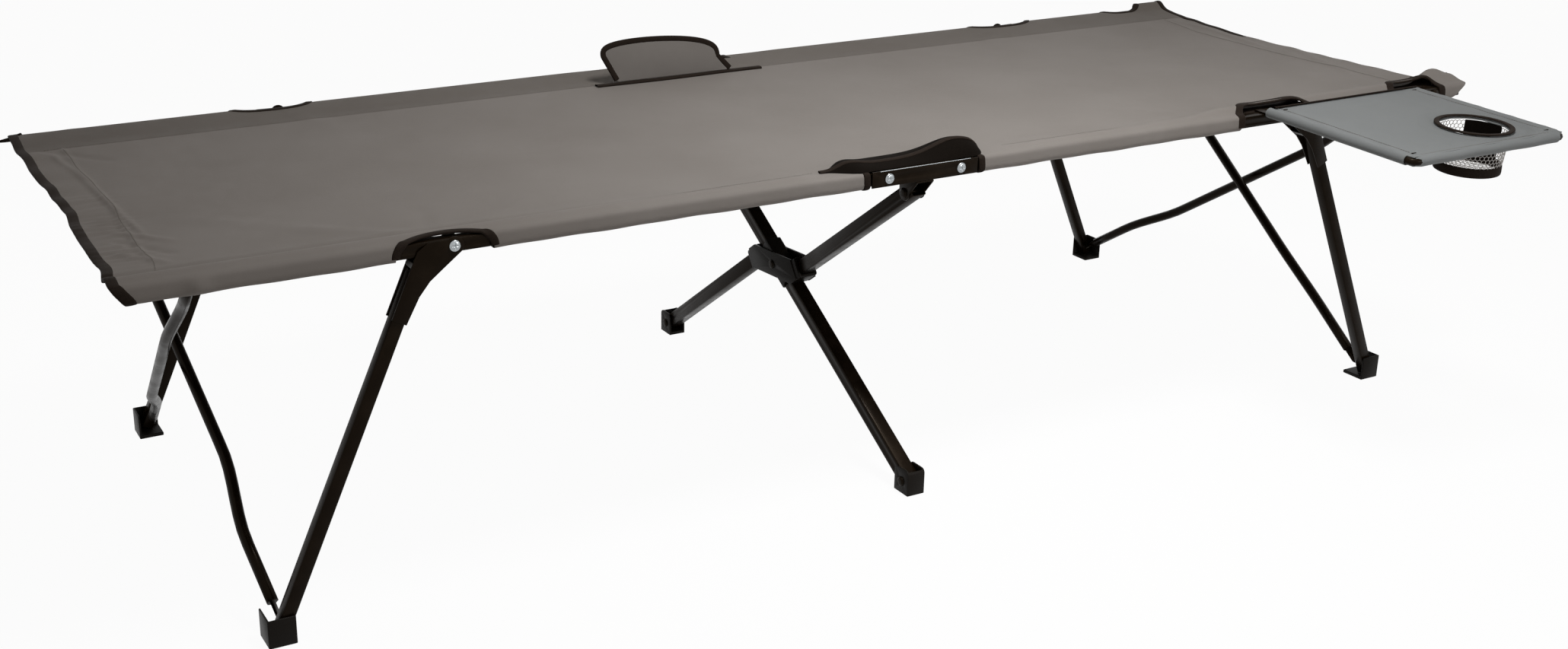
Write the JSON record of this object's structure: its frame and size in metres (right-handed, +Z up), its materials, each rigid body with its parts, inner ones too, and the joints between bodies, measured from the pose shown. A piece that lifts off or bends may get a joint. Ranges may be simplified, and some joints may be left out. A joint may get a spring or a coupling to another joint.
{
  "type": "folding camping cot",
  "caption": "Folding camp bed with a sleeved cloth deck on steel rails, splayed end legs, crossed braces and centre legs, and a small hook-on side table with a net cup.",
  "frame": {"origin": "on the floor, below the middle of the box around bed and table", "axes": "+X along the bed towards the end with the table, +Y across it away from the table, +Z up"},
  "size_m": [1.8956, 0.9256, 0.4889],
  "materials": {
    "powder_coated_steel": "satin black powder coat",
    "moulded_plastic": "matte black",
    "zinc_plated_steel": "bright zinc",
    "grey_polyester_cloth": "coated woven polyester",
    "blue_grey_polyester_cloth": "coated woven polyester",
    "black_mesh_net": "open net",
    "black_binding": "woven binding"
  },
  "bodies": {
    "foot_near": {"centre_foot_near": "moulded_plastic", "centre_foot_pin_near": "powder_coated_steel"},
    "x_leg_a": {"centre_leg_to_near_foot": "powder_coated_steel", "cross_pin": "powder_coated_steel", "cross_sleeve": "moulded_plastic"},
    "x_leg_b": {"centre_leg_from_near_channel": "powder_coated_steel", "centre_leg_to_far_foot": "powder_coated_steel", "cross_hub": "moulded_plastic"},
    "foot_far": {"centre_foot_far": "moulded_plastic", "centre_foot_pin_far": "powder_coated_steel"},
    "centre_near": {"bed_cloth_middle": "grey_polyester_cloth", "centre_leg_bracket_near": "powder_coated_steel", "centre_leg_pin_near": "powder_coated_steel", "hinge_channel_near": "powder_coated_steel", "hinge_flap_near": "black_binding", "rail_pin_near_left": "zinc_plated_steel", "rail_pin_near_right": "zinc_plated_steel"},
    "centre_far": {"centre_leg_bracket_far": "powder_coated_steel", "centre_leg_pin_far": "powder_coated_steel", "hinge_channel_far": "powder_coated_steel", "hinge_flap_far": "grey_polyester_cloth", "rail_pin_far_left": "zinc_plated_steel", "rail_pin_far_right": "zinc_plated_steel"},
    "rail_near_left": {"bed_cloth_left": "grey_polyester_cloth", "rail_near_left": "powder_coated_steel"},
    "leg_near_left": {"end_leg_near_left": "powder_coated_steel", "gusset_near_left": "powder_coated_steel", "knuckle_rivet_near_left": "zinc_plated_steel", "shoe_near_left": "moulded_plastic"},
    "swivel_near_left": {"swivel_near_left": "powder_coated_steel"},
    "brace_near_left": {"brace_near_left": "powder_coated_steel"},
    "rail_far_left": {"rail_far_left": "powder_coated_steel"},
    "leg_far_left": {"end_leg_far_left": "powder_coated_steel", "gusset_far_left": "powder_coated_steel", "knuckle_rivet_far_left": "zinc_plated_steel", "shoe_far_left": "moulded_plastic"},
    "swivel_far_left": {"swivel_far_left": "powder_coated_steel"},
    "brace_far_left": {"brace_far_left": "powder_coated_steel"},
    "rail_near_right": {"bed_cloth_right": "grey_polyester_cloth", "rail_near_right": "powder_coated_steel", "table_hook_1": "powder_coated_steel", "table_hook_2": "powder_coated_steel"},
    "leg_near_right": {"end_leg_near_right": "powder_coated_steel", "gusset_near_right": "powder_coated_steel", "knuckle_rivet_near_right": "zinc_plated_steel", "shoe_near_right": "moulded_plastic"},
    "swivel_near_right": {"swivel_near_right": "powder_coated_steel"},
    "brace_near_right": {"brace_near_right": "powder_coated_steel"},
    "rail_far_right": {"rail_far_right": "powder_coated_steel"},
    "leg_far_right": {"end_leg_far_right": "powder_coated_steel", "gusset_far_right": "powder_coated_steel", "knuckle_rivet_far_right": "zinc_plated_steel", "shoe_far_right": "moulded_plastic"},
    "swivel_far_right": {"swivel_far_right": "powder_coated_steel"},
    "brace_far_right": {"brace_far_right": "powder_coated_steel"},
    "table": {"cup_net": "black_mesh_net", "cup_rim": "black_binding", "table_cloth": "blue_grey_polyester_cloth", "table_frame": "powder_coated_steel"}
  },
  "joints": [
    {"name": "width_fold", "type": "hinge", "parent": "foot_near", "child": "x_leg_a", "pos_m": [0, -0.19972, 0.01608], "axis": [1, 0, 0], "range_deg": [0, 50], "deforming": ["bed_cloth_left", "bed_cloth_middle", "bed_cloth_right"]},
    {"name": "leg_cross", "type": "hinge", "parent": "x_leg_a", "child": "x_leg_b", "pos_m": [0, 0.12403, 0.21192], "axis": [1, 0, 0], "range_deg": [-100.5, 0.5]},
    {"name": "far_channel_hang", "type": "hinge", "parent": "x_leg_a", "child": "centre_far", "pos_m": [0, 0.42503, 0.394], "axis": [1, 0, 0], "range_deg": [-50.5, 0.5]},
    {"name": "near_channel_hang", "type": "hinge", "parent": "x_leg_b", "child": "centre_near", "pos_m": [0, -0.17697, 0.394], "axis": [1, 0, 0], "range_deg": [-0.5, 50.5]},
    {"name": "far_foot_turn", "type": "hinge", "parent": "x_leg_b", "child": "foot_far", "pos_m": [0, 0.44779, 0.01608], "axis": [1, 0, 0], "range_deg": [-0.5, 50.5]},
    {"name": "left_half_fold", "type": "hinge", "parent": "centre_near", "child": "rail_near_left", "pos_m": [-0.0525, -0.19297, 0.424], "axis": [0, 1, 0], "range_deg": [0, 90], "deforming": ["hinge_flap_near"]},
    {"name": "left_half_fold_far", "type": "hinge", "parent": "centre_far", "child": "rail_far_left", "pos_m": [-0.0525, 0.44103, 0.424], "axis": [0, 1, 0], "range_deg": [-0.5, 90.5], "deforming": ["hinge_flap_far"]},
    {"name": "leg_fold_near_left", "type": "hinge", "parent": "rail_near_left", "child": "leg_near_left", "pos_m": [-0.606, -0.19297, 0.424], "axis": [0, -1, 0], "range_deg": [-0.5, 100.5]},
    {"name": "swivel_turn_near_left", "type": "hinge", "parent": "rail_near_left", "child": "swivel_near_left", "pos_m": [-0.87866, -0.17547, 0.424], "axis": [0, -1, 0], "range_deg": [-0.5, 50.5]},
    {"name": "brace_turn_far_left", "type": "hinge", "parent": "swivel_near_left", "child": "brace_far_left", "pos_m": [-0.87866, -0.17547, 0.424], "axis": [-0.8286, -0.2494, -0.5012], "range_deg": [-0.5, 50.5]},
    {"name": "leg_fold_far_left", "type": "hinge", "parent": "rail_far_left", "child": "leg_far_left", "pos_m": [-0.606, 0.44103, 0.424], "axis": [0, -1, 0], "range_deg": [-0.5, 100.5]},
    {"name": "swivel_turn_far_left", "type": "hinge", "parent": "rail_far_left", "child": "swivel_far_left", "pos_m": [-0.87866, 0.42353, 0.424], "axis": [0, -1, 0], "range_deg": [-0.5, 50.5]},
    {"name": "brace_turn_near_left", "type": "hinge", "parent": "swivel_far_left", "child": "brace_near_left", "pos_m": [-0.87866, 0.42353, 0.424], "axis": [0.8286, -0.2494, 0.5012], "range_deg": [-0.5, 50.5]},
    {"name": "right_half_fold", "type": "hinge", "parent": "centre_near", "child": "rail_near_right", "pos_m": [0.0525, -0.19297, 0.424], "axis": [0, -1, 0], "range_deg": [0, 90]},
    {"name": "right_half_fold_far", "type": "hinge", "parent": "centre_far", "child": "rail_far_right", "pos_m": [0.0525, 0.44103, 0.424], "axis": [0, -1, 0], "range_deg": [-0.5, 90.5]},
    {"name": "leg_fold_near_right", "type": "hinge", "parent": "rail_near_right", "child": "leg_near_right", "pos_m": [0.606, -0.19297, 0.424], "axis": [0, 1, 0], "range_deg": [-0.5, 100.5]},
    {"name": "swivel_turn_near_right", "type": "hinge", "parent": "rail_near_right", "child": "swivel_near_right", "pos_m": [0.87866, -0.17547, 0.424], "axis": [0, 1, 0], "range_deg": [-0.5, 50.5]},
    {"name": "brace_turn_far_right", "type": "hinge", "parent": "swivel_near_right", "child": "brace_far_right", "pos_m": [0.87866, -0.17547, 0.424], "axis": [-0.8286, 0.2494, 0.5012], "range_deg": [-0.5, 50.5]},
    {"name": "leg_fold_far_right", "type": "hinge", "parent": "rail_far_right", "child": "leg_far_right", "pos_m": [0.606, 0.44103, 0.424], "axis": [0, 1, 0], "range_deg": [-0.5, 100.5]},
    {"name": "swivel_turn_far_right", "type": "hinge", "parent": "rail_far_right", "child": "swivel_far_right", "pos_m": [0.87866, 0.42353, 0.424], "axis": [0, 1, 0], "range_deg": [-0.5, 50.5]},
    {"name": "brace_turn_near_right", "type": "hinge", "parent": "swivel_far_right", "child": "brace_near_right", "pos_m": [0.87866, 0.42353, 0.424], "axis": [0.8286, 0.2494, -0.5012], "range_deg": [-0.5, 50.5]},
    {"name": "table_fold", "type": "hinge", "parent": "rail_near_right", "child": "table", "pos_m": [0.678, -0.21997, 0.439], "axis": [1, 0, 0], "range_deg": [0, 60]}
  ],
  "couplings": [
    {"joint": "leg_cross", "follows": "width_fold", "ratio": -2},
    {"joint": "far_channel_hang", "follows": "width_fold", "ratio": -1},
    {"joint": "near_channel_hang", "follows": "width_fold", "ratio": 1},
    {"joint": "far_foot_turn", "follows": "width_fold", "ratio": 1},
    {"joint": "left_half_fold_far", "follows": "left_half_fold", "ratio": 1},
    {"joint": "leg_fold_near_left", "follows": "width_fold", "ratio": 2},
    {"joint": "swivel_turn_near_left", "follows": "width_fold", "ratio": 1},
    {"joint": "brace_turn_far_left", "follows": "width_fold", "ratio": 1},
    {"joint": "leg_fold_far_left", "follows": "width_fold", "ratio": 2},
    {"joint": "swivel_turn_far_left", "follows": "width_fold", "ratio": 1},
    {"joint": "brace_turn_near_left", "follows": "width_fold", "ratio": 1},
    {"joint": "right_half_fold_far", "follows": "right_half_fold", "ratio": 1},
    {"joint": "leg_fold_near_right", "follows": "width_fold", "ratio": 2},
    {"joint": "swivel_turn_near_right", "follows": "width_fold", "ratio": 1},
    {"joint": "brace_turn_far_right", "follows": "width_fold", "ratio": 1},
    {"joint": "leg_fold_far_right", "follows": "width_fold", "ratio": 2},
    {"joint": "swivel_turn_far_right", "follows": "width_fold", "ratio": 1},
    {"joint": "brace_turn_near_right", "follows": "width_fold", "ratio": 1}
  ]
}
